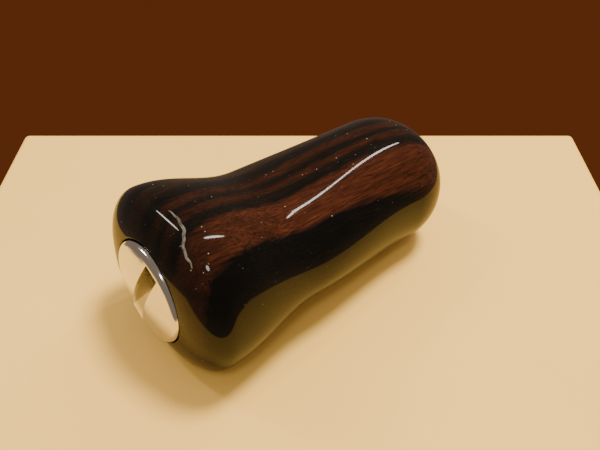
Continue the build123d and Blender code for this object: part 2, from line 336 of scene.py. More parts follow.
def thread_ridge(name, wall, crest, pitch, start, turns, steps_round=64):
    """A closed helical ridge on a round wall, tapering away at both ends."""
    foot = wall + RIDGE_SUNK * (wall - crest)
    base, top = RIDGE_BASE * pitch, RIDGE_TOP * pitch
    section = [(-base, foot), (base, foot), (top, crest), (-top, crest)]
    deselect()
    bpy.ops.mesh.primitive_plane_add(size=pitch, location=(start, wall, 0))
    ridge = name_piece(name)
    bpy.ops.object.mode_set(mode="EDIT")
    mesh = bmesh.from_edit_mesh(ridge.data)
    around = sorted(mesh.verts, key=lambda vert: atan2(vert.co.y - wall, vert.co.x - start))
    for vert, (along, radius) in zip(around, section):
        vert.co = Vector((start + along, radius, 0))
    bmesh.update_edit_mesh(ridge.data)
    bpy.ops.mesh.select_all(action="SELECT")
    bpy.ops.mesh.delete(type="ONLY_FACE")
    bpy.ops.object.mode_set(mode="OBJECT")
    steps = int(steps_round * turns)
    apply_modifier(ridge, "SCREW", axis="X", angle=2 * pi * turns, screw_offset=pitch * turns,
                   steps=steps, render_steps=steps, use_normal_calculate=True)
    fade = steps_round // 6         # the ends fade over a sixth of a turn
    for vert in ridge.data.vertices:
        step = round((vert.co.x - start) / pitch * steps_round)
        rim = Vector((vert.co.y, vert.co.z))
        turn = atan2(rim.y, rim.x) / (2 * pi) * steps_round
        step = turn + steps_round * round((step - turn) / steps_round)
        share = min(1.0, step / fade, (steps - step) / fade)
        faded = foot + (rim.length - foot) * max(RIDGE_LEAST, share)
        rim *= faded / rim.length
        vert.co.y, vert.co.z = rim
    bpy.ops.object.mode_set(mode="EDIT")
    bpy.ops.mesh.select_all(action="SELECT")
    bpy.ops.mesh.fill_holes(sides=8)
    bpy.ops.mesh.select_all(action="SELECT")
    bpy.ops.mesh.normals_make_consistent(inside=False)
    bpy.ops.object.mode_set(mode="OBJECT")
    return ridge


def join_pieces(main, *others):
    """Make several objects one piece."""
    activate(main)
    for other in others:
        other.select_set(True)
    bpy.ops.object.join()


# ---- node materials ----
LEAST_SPECK = 0.4               # the smallest speck's radius as a share of the largest's
SPECK_CORE = 0.6                # a speck fades from here to its rim
NOISE_SPAN = (0.3, 0.7)         # where nearly all of a soft noise lies


class Finish:
    """A node material while it is put together. Its patterns are in millimetres."""

    def __init__(self, name, **constants):
        self.material = bpy.data.materials.new(name)
        self.material.use_nodes = True
        self.nodes = self.material.node_tree.nodes
        self.links = self.material.node_tree.links
        self.shader = self.nodes["Principled BSDF"]
        for socket, value in constants.items():
            self.shader.inputs[socket.replace("_", " ")].default_value = value
        place = self.nodes.new("ShaderNodeTexCoord").outputs["Object"]
        self.place = self.scaled(place, 1 / MM)
        split = self.add("ShaderNodeSeparateXYZ", {0: self.place})
        self.x, self.y, self.z = split.outputs

    def add(self, kind, inputs, **settings):
        """Add a node. A value may be a number or another node's socket."""
        node = self.nodes.new(kind)
        for setting, value in settings.items():
            setattr(node, setting, value)
        for socket, value in inputs.items():
            if isinstance(value, bpy.types.NodeSocket):
                self.links.new(value, node.inputs[socket])
            else:
                node.inputs[socket].default_value = value
        return node

    def maths(self, operation, *values):
        """A number worked out from others."""
        inputs = dict(enumerate(values))
        return self.add("ShaderNodeMath", inputs, operation=operation).outputs[0]

    def scaled(self, first, scale):
        """A vector or colour scaled by a number."""
        inputs = {0: first, "Scale": scale}
        return self.add("ShaderNodeVectorMath", inputs, operation="SCALE").outputs[0]

    def stretched(self, stretch, turn=(0, 0, 0), place=None):
        """The place, turned and then scaled along each axis, in features for each millimetre."""
        turned = self.add("ShaderNodeMapping", {0: place or self.place, "Rotation": turn})
        return self.add("ShaderNodeMapping", {0: turned.outputs[0], "Scale": stretch}).outputs[0]

    def noise(self, stretch, detail=2.0, roughness=0.5, place=None):
        """Soft noise, stretched as the grain runs."""
        inputs = {"Vector": self.stretched(stretch, place=place), "Scale": 1.0, "Detail": detail,
                  "Roughness": roughness}
        return self.add("ShaderNodeTexNoise", inputs).outputs["Fac"]

    def limits(self, value, low, high, to_low=0.0, to_high=1.0):
        """A value's range mapped to another, held at its ends."""
        inputs = {"Value": value, "From Min": low, "From Max": high, "To Min": to_low,
                  "To Max": to_high}
        return self.add("ShaderNodeMapRange", inputs, clamp=True).outputs[0]

    def ramp(self, value, stops):
        """A colour ramp from (position, colour) stops."""
        node = self.add("ShaderNodeValToRGB", {0: value})
        elements = node.color_ramp.elements
        while len(elements) < len(stops):
            elements.new(0.5)
        for element, (position, shade) in zip(elements, stops):
            element.position = position
            element.color = (*shade, 1.0)
        return node.outputs[0]

    def mix(self, share, first, second):
        """One colour laid over another."""
        node = self.nodes.new("ShaderNodeMix")
        node.data_type = "RGBA"
        for socket, value in ((0, share), (6, first), (7, second)):
            if isinstance(value, bpy.types.NodeSocket):
                self.links.new(value, node.inputs[socket])
            elif socket == 0:
                node.inputs[socket].default_value = value
            else:
                node.inputs[socket].default_value = (*value, 1.0)
        return node.outputs[2]

    def specks(self, stretch, radius, share, turn=(0, 0, 0)):
        """1 inside small scattered marks, of which only a share of the cells has one."""
        inputs = {"Vector": self.stretched(stretch, turn), "Scale": 1.0}
        cells = self.add("ShaderNodeTexVoronoi", inputs)
        chance = self.add("ShaderNodeSeparateColor", {0: cells.outputs["Color"]})
        reach = self.limits(chance.outputs[0], 0.0, 1.0, radius * LEAST_SPECK, radius)
        nearness = self.maths("DIVIDE", cells.outputs["Distance"], reach)
        inside = self.limits(nearness, SPECK_CORE, 1.0, 1.0, 0.0)
        return self.maths("MULTIPLY", inside, self.maths("LESS_THAN", chance.outputs[1], share))

    def join(self, value, socket):
        """Feed one of the shader's sockets."""
        self.links.new(value, self.shader.inputs[socket])

    def bump(self, height, distance, strength=1.0):
        """Raise the surface by a height pattern."""
        inputs = {"Height": height, "Distance": distance, "Strength": strength}
        self.join(self.add("ShaderNodeBump", inputs).outputs[0], "Normal")


# Growth bands across the grip, each from its edge towards -Y, in millimetres.
GROWTH_BANDS = (
    (-11.0, "dark"), (-9.2, "dim"), (-8.8, "dark"), (-7.6, "dim"), (-7.0, "dark"),
    (-5.4, "brown"), (-3.2, "dark"), (-1.6, "dim"), (-0.35, "dark"), (0.6, "dim"),
    (1.6, "dark"), (3.0, "red"), (6.9, "black"), (9.3, "dark"), (9.7, "black"),
)
GROWTH_REACH = 11.5
BAND_SOFTNESS = 0.27
GRAIN_BOW = 0.85                # how far the bands bow towards -Y, at most
GRAIN_BOW_AT = 17.0
GRAIN_SAG = 0.005               # how fast they turn back on both sides of that station
GRAIN_FLARE_FROM = 12.0         # nearer the cap they turn back faster
GRAIN_FLARE = 0.009
# (features for each millimetre, reach in millimetres) of the bands' wandering
GRAIN_DRIFTS = (((0.06, 0.25, 0.25), 0.35), ((0.10, 1.3, 1.3), 0.5), ((0.3, 5.0, 5.0), 0.35))

# features for each millimetre along the grain and across it
STREAK_GRAIN, CLOUD_GRAIN, PORE_GRAIN = (0.35, 6.5, 6.5), (0.12, 0.8, 0.8), (1.1, 15.0, 15.0)
STREAK_DETAIL, STREAK_ROUGHNESS = 4.0, 0.7
STREAK_SPAN, PORE_SPAN = (0.34, 0.66), (0.64, 0.70)
STREAK_TONES = (0.35, 1.75)     # darkest and brightest streak
CLOUD_TONES = (0.7, 1.3)
END_TONES = (0.4, 1.0)          # the wood is darker at the capped end
END_STATIONS = (1.0, 7.0)
PORE_SHARE = 0.75               # how black the pores are
DUST_CELLS, DUST_RADIUS, DUST_CHANCE = (1.1, 1.1, 1.1), 0.09, 0.6
SCRATCH_CELLS, SCRATCH_RADIUS, SCRATCH_CHANCE = (0.22, 2.6, 2.6), 0.075, 0.16
SCRATCH_TURNS = ((0.3, 0.5, 0.6), (0.2, -0.4, -0.7), (0.6, 0.1, 1.4))
MARK_SHARE = 0.7                # how pale dust and scratches are
PORE_DEPTH = 0.01 * MM


def growth_layer(finish, station):
    """Where a place lies across the growth bands: its -Y, bent and shaken as the tree grew."""
    from_bow = finish.maths("ABSOLUTE", finish.maths("SUBTRACT", station, GRAIN_BOW_AT))
    sag = finish.maths("MULTIPLY", finish.maths("POWER", from_bow, 2.0), -GRAIN_SAG)
    near_cap = finish.maths("MAXIMUM", finish.maths("SUBTRACT", GRAIN_FLARE_FROM, station), 0.0)
    flare = finish.maths("MULTIPLY", finish.maths("POWER", near_cap, 2.0), -GRAIN_FLARE)
    bow = finish.maths("ADD", finish.maths("ADD", sag, flare), GRAIN_BOW)
    layer = finish.maths("SUBTRACT", bow, finish.y)
    for stretch, reach in GRAIN_DRIFTS:
        drift = finish.maths("SUBTRACT", finish.noise(stretch), 0.5)
        layer = finish.maths("ADD", layer, finish.maths("MULTIPLY", drift, 2 * reach))
    return layer


def growth_stops(finishes):
    """The colour ramp's stops, two for each edge between bands."""
    shades = {"black": finishes.wood_black, "dark": finishes.wood_dark, "dim": finishes.wood_dim,
              "red": finishes.wood_red, "brown": finishes.wood_brown}
    stops = []
    for number, (edge, shade) in enumerate(GROWTH_BANDS):
        if number:
            before = shades[GROWTH_BANDS[number - 1][1]]
            stops.append((0.5 + (edge - BAND_SOFTNESS) / (2 * GROWTH_REACH), before))
        stops.append((0.5 + (edge + BAND_SOFTNESS) / (2 * GROWTH_REACH), shades[shade]))
    return stops


def lacquered_wood(finishes):
    """Dark streaked hardwood under a deep clear gloss."""
    finish = Finish("lacquered_wood", Roughness=0.6, Specular_IOR_Level=0.05, Coat_Weight=0.55,
                    Coat_Roughness=0.055, Coat_IOR=1.43)
    station = finish.maths("SUBTRACT", finish.x, WOOD_LOW.x / MM)
    across = finish.limits(growth_layer(finish, station), -GROWTH_REACH, GROWTH_REACH)
    bands = finish.ramp(across, growth_stops(finishes))
    streaks = finish.noise(STREAK_GRAIN, STREAK_DETAIL, STREAK_ROUGHNESS)
    streaks = finish.limits(streaks, *STREAK_SPAN, *STREAK_TONES)
    clouds = finish.limits(finish.noise(CLOUD_GRAIN), *NOISE_SPAN, *CLOUD_TONES)
    end_shade = finish.limits(station, *END_STATIONS, *END_TONES)
    tone = finish.maths("MULTIPLY", finish.maths("MULTIPLY", streaks, clouds), end_shade)
    wood = finish.scaled(bands, tone)
    pores = finish.limits(finish.noise(PORE_GRAIN, 1.0), *PORE_SPAN)
    wood = finish.mix(finish.maths("MULTIPLY", pores, PORE_SHARE), wood, finishes.wood_black)
    marks = finish.specks(DUST_CELLS, DUST_RADIUS, DUST_CHANCE)
    for turn in SCRATCH_TURNS:
        scratches = finish.specks(SCRATCH_CELLS, SCRATCH_RADIUS, SCRATCH_CHANCE, turn)
        marks = finish.maths("MAXIMUM", marks, scratches)
    wood = finish.mix(finish.maths("MULTIPLY", marks, MARK_SHARE), wood, finishes.dust)
    finish.join(wood, "Base Color")
    finish.bump(finish.noise(PORE_GRAIN, 1.0), PORE_DEPTH, 0.4)
    return finish.material


CRACK_DARK, CRACK_PALE = (0.045, 0.04, 0.03), (0.15, 0.14, 0.115)


def crack_filling():
    """Pale dust held in a crack."""
    finish = Finish("crack_filling", Roughness=0.55)
    mottle = finish.limits(finish.noise((2.0, 2.0, 2.0), 3.0), 0.35, 0.65)
    finish.join(finish.mix(mottle, CRACK_DARK, CRACK_PALE), "Base Color")
    finish.bump(finish.noise((9.0, 9.0, 9.0)), 0.01 * MM)
    return finish.material


CAP_FACE_RADIUS = 22.0          # millimetres, for the painted shade deep in the cap's slot
CAP_FACE_WITHIN = 4.7
# painted shade: the colour the cap's metal is darkened towards deep in its slot
SLOT_PAINTED_SHADE = (0.10, 0.09, 0.06)
SLOT_PAINTED_SHADE_SHARE = 0.6
SLOT_PAINTED_SHADE_DEPTHS = (0.05, 0.5)  # the painted shade deepens over these depths behind the face
SMUDGE_GRAIN = (0.7, 0.7, 0.7)
HAIRLINE_CELLS, HAIRLINE_TURN = (0.15, 3.0, 3.0), (0.8, 0.4, 0.9)
HAIRLINE_RADIUS, HAIRLINE_CHANCE = 0.07, 0.3
HAIRLINE_ROUGHNESS, HAIRLINE_DEPTH = 0.1, 0.5
SMUDGE_DARKNESS = 0.25
RING_SHARE = 0.3                # how much the rings count in the roughness, beside the smudges
ROUGHNESS_SPAN = (0.4, 0.9)


def slot_painted_shade(finish, square, radius):
    """Painted shade in the slot, from how far a place is behind the cap's domed face."""
    bulge = finish.maths("MULTIPLY", square, 0.5 / CAP_FACE_RADIUS)
    depth = finish.maths("SUBTRACT", finish.maths("SUBTRACT", finish.x, CAP_LOW.x / MM), bulge)
    in_slot = finish.maths("MULTIPLY", finish.limits(depth, *SLOT_PAINTED_SHADE_DEPTHS),
                           finish.maths("LESS_THAN", radius, CAP_FACE_WITHIN))
    return finish.maths("MULTIPLY", in_slot, SLOT_PAINTED_SHADE_SHARE)


def turned_metal(name, tint, roughness, ring_spacing=0.05, relief=0.002, wear=0.25,
                 painted_slot_shade=False):
    """Metal with fine lathe rings about the spin axis, and light handling marks."""
    finish = Finish(name, Metallic=1.0)
    squares = [finish.maths("MULTIPLY", axis, axis) for axis in (finish.y, finish.z)]
    square = finish.maths("ADD", *squares)
    radius = finish.maths("SQRT", square)
    line = finish.add("ShaderNodeCombineXYZ", {0: finish.x, 1: radius}).outputs[0]
    rings = finish.noise((1 / ring_spacing, 1 / ring_spacing, 1.0), 2.0, place=line)
    smudges = finish.noise(SMUDGE_GRAIN, 3.0)
    hairlines = finish.specks(HAIRLINE_CELLS, HAIRLINE_RADIUS, HAIRLINE_CHANCE, HAIRLINE_TURN)
    tone = finish.limits(smudges, *NOISE_SPAN, 1.0 - SMUDGE_DARKNESS * wear, 1.0)
    shade = tuple(tint)
    # painted shade deep in the cap's slot
    if painted_slot_shade:
        shade = finish.mix(slot_painted_shade(finish, square, radius), shade, SLOT_PAINTED_SHADE)
    finish.join(finish.scaled(shade, tone), "Base Color")
    rough = finish.maths("ADD", finish.maths("MULTIPLY", rings, RING_SHARE), smudges)
    rough = finish.limits(rough, *ROUGHNESS_SPAN, roughness * (1 - wear), roughness * (1 + wear))
    dull = finish.maths("MULTIPLY", hairlines, HAIRLINE_ROUGHNESS)
    finish.join(finish.maths("ADD", rough, dull), "Roughness")
    cuts = finish.maths("MULTIPLY", hairlines, HAIRLINE_DEPTH)
    finish.bump(finish.maths("SUBTRACT", rings, cuts), relief * MM, 0.6)
    return finish.material


SEAL_BLACK, SEAL_BLOOM = (0.012, 0.012, 0.013), (0.028, 0.027, 0.026)
NYLON_DARK, NYLON_PALE = (0.66, 0.60, 0.46), (0.74, 0.69, 0.56)


def seal_rubber():
    """Matt black rubber with a faint bloom."""
    finish = Finish("seal_rubber", Roughness=0.55, Specular_IOR_Level=0.4)
    bloom = finish.limits(finish.noise((1.5, 1.5, 1.5), 4.0), 0.4, 0.7)
    finish.join(finish.mix(bloom, SEAL_BLACK, SEAL_BLOOM), "Base Color")
    finish.bump(finish.noise((12.0, 12.0, 12.0), 3.0), 0.004 * MM)
    return finish.material


def cage_nylon():
    """Natural moulded nylon."""
    finish = Finish("cage_nylon", Roughness=0.42, Subsurface_Weight=0.15, Subsurface_Scale=0.0004)
    cloud = finish.noise((1.2, 1.2, 1.2), 3.0)
    finish.join(finish.mix(cloud, NYLON_DARK, NYLON_PALE), "Base Color")
    finish.bump(finish.noise((20.0, 20.0, 20.0), 2.0), 0.003 * MM)
    return finish.material


# ---- the pieces ----
GRIP_END_STEPS = 26
GRIP_MIDDLE_STEPS = 84
GRIP_ARM_STEPS = 18
RECESS_EDGE_ROUND = 0.11 * MM
RING_EDGE_ROUND = 0.08 * MM
LINER_STEP_AT = 6.4 * MM        # stations inside the wood
RECESS_MIDDLE_AT = 1.2 * MM
LINER_RADIUS = 4.0 * MM         # the liner's outside, beyond its step
RING_SEAT_DEPTH = 0.9 * MM
SMOOTHED_BEYOND = 0.35 * MM     # from the recess outwards
SMOOTHING_STEPS = 6

# (station, turn in degrees, half-width), lengths in millimetres
CRACK_ROUTE = (
    (3.0, 91, 0.05), (3.1, 98, 0.15), (3.0, 104, 0.19), (2.75, 111, 0.21),
    (2.25, 115.5, 0.19), (1.85, 120, 0.17), (1.7, 127, 0.15), (1.65, 132, 0.06),
)
CRACK_POINTS_EACH_LEG = 4
CRACK_WANDERS = ((0.05, 1.3), (0.02, 2.9))      # (reach in millimetres, pace)
CRACK_SUNK = 0.7                # how deep it lies, in half-widths


class SLICKER_OT_grip(bpy.types.Operator):
    """Model the waisted wooden grip with its bores, and the crack in its lacquer"""
    bl_idname = "slicker.grip"
    bl_label = "Wooden grip"

    def execute(self, context):
        sizes, finishes = context.scene.slicker_grip, context.scene.slicker_finishes
        skin = Skin(sizes)
        wood = self.wood(skin, sizes)
        finish_piece(wood, lacquered_wood(finishes), "grip", "lacquered_wood", "wood_body")
        crack = self.crack(skin)
        finish_piece(crack, crack_filling(), "grip", "lacquered_wood")
        return {"FINISHED"}

    def wood(self, skin, sizes):
        """Rings over the outside, then back through the bores to where they began."""
        recess_angles = {}

        def cap_end(turn, share):
            key = round(turn, 4)
            if key not in recess_angles:
                recess_angles[key] = skin.recess_angle(turn)
            return skin.point(skin.cap_rise_station(recess_angles[key] * share), turn)

        points = sizes.points_round
        piece = start_ring("grip_wood", skin.x_at(0), sizes.recess_radius, points)
        set_selected(piece, lambda turn: cap_end(turn, 1.0))
        for step in range(1, GRIP_END_STEPS + 1):
            pull_ring(piece, lambda turn: cap_end(turn, 1 - step / GRIP_END_STEPS))
        middle = sizes.arm_bulge_at - sizes.cap_bulge_at
        for step in range(1, GRIP_MIDDLE_STEPS + 1):
            station = sizes.cap_bulge_at + middle * step / GRIP_MIDDLE_STEPS
            pull_ring(piece, lambda turn: skin.point(station, turn))
        rise = sizes.length - sizes.arm_bulge_at
        for step in range(1, GRIP_ARM_STEPS + 1):
            station = sizes.arm_bulge_at + rise * sin(pi / 2 * step / GRIP_ARM_STEPS)
            pull_ring(piece, lambda turn: skin.point(station, turn))
        self.bores(piece, skin, sizes)
        pull_ring(piece, lambda turn: cap_end(turn, 1.0))
        close_piece(piece)
        self.round_edges(piece, skin, sizes)
        bpy.ops.object.mode_set(mode="OBJECT")
        return piece

    def bores(self, piece, skin, sizes):
        """Seats for the closing ring, the liner and the cap."""
        ring_radius, head_radius = RING_HIGH.y, LINER_HIGH.y
        ring_seat_x = GRIP_END_X - RING_SEAT_DEPTH
        step_x = skin.x_at(LINER_STEP_AT)
        corners = [(GRIP_END_X, ring_radius), (ring_seat_x, ring_radius)]
        corners += [(ease(ring_seat_x, step_x, share), LINER_RADIUS) for share in (0.0, 0.5, 1.0)]
        corners += [(step_x, head_radius), (LINER_LOW.x, head_radius)]
        corners += [(LINER_LOW.x, sizes.recess_radius)]
        corners += [(skin.x_at(RECESS_MIDDLE_AT), sizes.recess_radius)]
        pull_round(piece, corners)

    def round_edges(self, piece, skin, sizes):
        """Smooth the outside where its curves meet, and break the two edges that show."""
        outside = sizes.recess_radius + SMOOTHED_BEYOND
        select_where(piece, lambda co: Vector((co.y, co.z)).length > outside
                     and co.x < skin.x_at(sizes.arm_bulge_at))
        bpy.ops.mesh.vertices_smooth(factor=0.5, repeat=SMOOTHING_STEPS)
        recess = sizes.recess_radius
        select_where(piece, lambda co: abs(Vector((co.y, co.z)).length - recess) < TOUCHING
                     and co.x < skin.x_at(RECESS_MIDDLE_AT / 2), "EDGE")
        bpy.ops.mesh.bevel(offset=RECESS_EDGE_ROUND, segments=4, affect="EDGES")
        select_where(piece, lambda co: abs(Vector((co.y, co.z)).length - RING_HIGH.y) < TOUCHING
                     and co.x > GRIP_END_X - 10 * TOUCHING, "EDGE")
        bpy.ops.mesh.bevel(offset=RING_EDGE_ROUND, segments=3, affect="EDGES")

    def crack(self, skin):
        """A dusty crack that wanders over the capped end, just proud of the lacquer."""
        deselect()
        bpy.ops.curve.primitive_nurbs_path_add()
        curve = bpy.context.object
        curve.data.splines.clear()
        spline = curve.data.splines.new("NURBS")
        last = len(CRACK_ROUTE) - 1
        spline.points.add(last * CRACK_POINTS_EACH_LEG)
        for number, point in enumerate(spline.points):
            leg, share = divmod(number / CRACK_POINTS_EACH_LEG, 1.0)
            first, second = CRACK_ROUTE[int(leg)], CRACK_ROUTE[min(int(leg) + 1, last)]
            station, turn, half_width = (a + (b - a) * share for a, b in zip(first, second))
            wander = sum(reach * sin(pace * number) for reach, pace in CRACK_WANDERS)
            sunk = CRACK_SUNK * half_width * MM
            place = skin.point((station + wander) * MM, radians(turn), -sunk)
            point.co = (*place, 1.0)
            point.radius = half_width
        spline.order_u = 3
        spline.use_endpoint_u = True
        curve.data.bevel_depth = MM
        curve.data.bevel_resolution = 3
        curve.data.resolution_u = 3
        curve.data.use_fill_caps = True
        activate(curve)
        bpy.ops.object.convert(target="MESH")
        piece = name_piece("lacquer_crack")
        bpy.ops.object.mode_set(mode="EDIT")
        close_piece(piece)
        bpy.ops.object.mode_set(mode="OBJECT")
        return piece


SEAT_AT = 1.3 * MM              # stations of the cap's steps, from the grip's capped end
NECK_END_AT = 2.35 * MM
FLOOR_AT = 2.2 * MM
THREAD_ROOT = 4.08 * MM
THREAD_CREST = 4.42 * MM
LINER_THREAD_MAJOR = 4.5 * MM
LINER_THREAD_MINOR = 4.17 * MM
LINER_THREAD_END_AT = 5.4 * MM
THREAD_RUN_IN = 0.25 * MM       # from a shoulder to the first ridge
CAP_THREAD_TURNS = 2.65
FACE_POINTS = 120
SLOT_STEPS = 12
FACE_CUTS = (1.6 * MM, 2.3 * MM, 3.1 * MM, 4.0 * MM)    # beside the slot, to follow the dome
RIM_STEPS = 8
HEAD_EDGE = 0.07 * MM
SKIRT_CHAMFER = 0.3 * MM
SLOT_EDGE_ROUND = 0.05 * MM
SEAL_HALF_THICK = 0.39 * MM


class SLICKER_OT_cap(bpy.types.Operator):
    """Model the domed cap with its coin slot and threaded skirt, and the seal under its head"""
    bl_idname = "slicker.cap"
    bl_label = "Cap and seal"

    def execute(self, context):
        sizes, finishes = context.scene.slicker_cap, context.scene.slicker_finishes
        station_zero = GRIP_END_X - context.scene.slicker_grip.length
        cap = self.cap(sizes, station_zero)
        # the cap's metal carries painted shade deep in its slot
        metal = turned_metal("cap_metal", finishes.cap_steel, 0.13, ring_spacing=0.09,
                             relief=0.0012, painted_slot_shade=True)
        finish_piece(cap, metal, "cap", "cap", "end_cap")
        seal = self.seal()
        finish_piece(seal, seal_rubber(), "cap_seal", "seal", "cap_o_ring")
        return {"FINISHED"}

    def cap(self, sizes, station_zero):
        """The domed face cut from a disc, with its rim, skirt, slot and thread."""
        dome_centre = CAP_LOW.x + sizes.face_radius
        round_radius = sizes.radius - sizes.rim_round
        inner = sizes.face_radius - sizes.rim_round
        round_x = dome_centre - sqrt(inner**2 - round_radius**2)
        face_edge = round_radius * sizes.face_radius / inner
        slot_way = Vector((0, -sin(sizes.slot_tilt), cos(sizes.slot_tilt)))
        across = Vector((0, cos(sizes.slot_tilt), sin(sizes.slot_tilt)))
        cutter_centre = CAP_LOW.x + sizes.slot_depth - sizes.cutter_radius

        def dome(co):
            return dome_centre - sqrt(sizes.face_radius**2 - co.y**2 - co.z**2)

        def slot_floor(co):
            return cutter_centre + sqrt(sizes.cutter_radius**2 - co.dot(slot_way)**2)

        apart = dome_centre - cutter_centre
        foot = (sizes.cutter_radius**2 - sizes.face_radius**2 + apart**2) / (2 * apart)
        slot_end = sqrt(sizes.cutter_radius**2 - foot**2)
        piece = start_ring("cap", 0, face_edge, FACE_POINTS, fill="NGON")
        half_slot = sizes.slot_width / 2
        cuts = [(slot_way, slot_end * (2 * step / SLOT_STEPS - 1)) for step in range(SLOT_STEPS + 1)]
        cuts += [(across, side * offset) for side in (-1, 1) for offset in (half_slot, *FACE_CUTS)]
        for normal, offset in cuts:
            bpy.ops.mesh.select_all(action="SELECT")
            bpy.ops.mesh.bisect(plane_co=normal * offset, plane_no=normal, threshold=MERGE_DISTANCE)
        bpy.ops.mesh.select_mode(type="EDGE")
        bpy.ops.mesh.select_all(action="DESELECT")
        mesh = bmesh.from_edit_mesh(piece.data)
        for vert in mesh.verts:
            if vert.is_boundary:
                rim = vert.co.normalized() * face_edge
                vert.co.y, vert.co.z = rim.y, rim.z
            vert.co.x = dome(vert.co)
        for edge in mesh.edges:
            if edge.is_boundary:
                edge.select_set(True)
        bmesh.update_edit_mesh(piece.data)
        self.side_and_skirt(piece, sizes, station_zero, round_x, round_radius,
                            atan2(round_radius, dome_centre - round_x))
        self.cut_slot(piece, half_slot, slot_end, slot_way, across, dome, slot_floor)
        bpy.ops.object.mode_set(mode="OBJECT")
        ridge = thread_ridge("cap_thread", THREAD_ROOT, THREAD_CREST, sizes.thread_pitch,
                             station_zero + NECK_END_AT + THREAD_RUN_IN, CAP_THREAD_TURNS)
        join_pieces(piece, ridge)
        return piece

    def side_and_skirt(self, piece, sizes, station_zero, round_x, round_radius, first_angle):
        """Rim rounding, head, neck, skirt and the hollow inside it."""
        corners = []
        for step in range(1, RIM_STEPS + 1):
            angle = first_angle + (pi / 2 - first_angle) * step / RIM_STEPS
            corners.append((round_x - sizes.rim_round * cos(angle),
                            round_radius + sizes.rim_round * sin(angle)))
        seat_x, end_x, floor_x = station_zero + SEAT_AT, CAP_HIGH.x, station_zero + FLOOR_AT
        corners += [(seat_x - HEAD_EDGE, sizes.radius), (seat_x, sizes.radius - HEAD_EDGE)]
        corners += [(seat_x, THREAD_ROOT), (end_x - SKIRT_CHAMFER, THREAD_ROOT)]
        corners += [(end_x, THREAD_ROOT - SKIRT_CHAMFER), (end_x, sizes.skirt_bore + HEAD_EDGE)]
        corners += [(end_x - HEAD_EDGE, sizes.skirt_bore), (floor_x, sizes.skirt_bore), (floor_x, 0.0)]
        pull_round(piece, corners)
        close_piece(piece)

    def cut_slot(self, piece, half_slot, slot_end, slot_way, across, dome, slot_floor):
        """Sink the strip between the slot's sides to its curved floor."""
        near = 2 * TOUCHING

        def on_strip(co):
            return (abs(co.dot(across)) < half_slot + near
                    and abs(co.dot(slot_way)) < slot_end + near and co.x < dome(co) + near)

        def on_slot_side(co):
            return (abs(abs(co.dot(across)) - half_slot) < near
                    and abs(co.dot(slot_way)) < slot_end + near and abs(co.x - dome(co)) < near)

        select_where(piece, on_strip, "FACE")
        bpy.ops.mesh.extrude_region_move()
        mesh = bmesh.from_edit_mesh(piece.data)
        for vert in mesh.verts:
            if vert.select:
                vert.co.x = max(vert.co.x, slot_floor(vert.co))
        bmesh.update_edit_mesh(piece.data)
        close_piece(piece)
        select_where(piece, on_slot_side, "EDGE")
        bpy.ops.mesh.bevel(offset=SLOT_EDGE_ROUND, segments=3, affect="EDGES")

    def seal(self):
        """A ring of round section, squeezed between the cap's head and the liner."""
        section = (SEAL_HIGH.x - SEAL_LOW.x) / 2
        deselect()
        bpy.ops.mesh.primitive_torus_add(
            major_radius=SEAL_HIGH.y - SEAL_HALF_THICK, minor_radius=SEAL_HALF_THICK,
            major_segments=96, minor_segments=20, rotation=(0, pi / 2, 0))
        piece = name_piece("cap_seal_ring")
        bpy.ops.object.mode_set(mode="EDIT")
        bpy.ops.mesh.select_all(action="SELECT")
        bpy.ops.transform.resize(value=(section / SEAL_HALF_THICK, 1, 1))
        bpy.ops.transform.translate(value=((SEAL_HIGH.x + SEAL_LOW.x) / 2, 0, 0))
        bpy.ops.object.mode_set(mode="OBJECT")
        return piece


SPINDLE_SHAFT = 1.98 * MM
FLANGE_THICKNESS = 2.0 * MM
TAPPED_MAJOR = 1.25 * MM        # M2.5 x 0.45
TAPPED_MINOR = 1.03 * MM
TAPPED_PITCH = 0.45 * MM
TAPPED_DEPTH = 8.0 * MM
SPANNER_HOLE_RADIUS = 0.4 * MM
SPANNER_HOLE_OFFSET = 2.15 * MM
SPANNER_HOLE_DEPTH = 1.0 * MM
BEARING_SEAT = 3.5 * MM
BEARING_WIDTH = 2.5 * MM
OUTBOARD_BEARING_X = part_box("outboard_outer_race")[0].x
INBOARD_BEARING_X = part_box("inboard_outer_race")[0].x
SHOULDER_BORE = 3.05 * MM
DRILL_POINT = 0.4 * MM          # length of the cone at a hole's bottom
SHAFT_CHAMFER = 0.2 * MM
FLANGE_EDGE = 0.05 * MM
BREAK_EDGE = 0.15 * MM
TAPPED_RUN_IN = 0.35 * MM
TAPPED_RUN_OUT = 1.2 * MM       # length of hole that has no thread, both ends together
TAPPED_STEPS_ROUND = 32
RING_BORE = 3.1 * MM
RING_EDGE_BREAK, LINER_EDGE_BREAK = 0.03 * MM, 0.04 * MM
SHAFT_POINTS, RING_POINTS = 96, 112
LINER_THREAD_RUN_IN = 0.6 * MM
LINER_THREAD_TURNS = 4.0


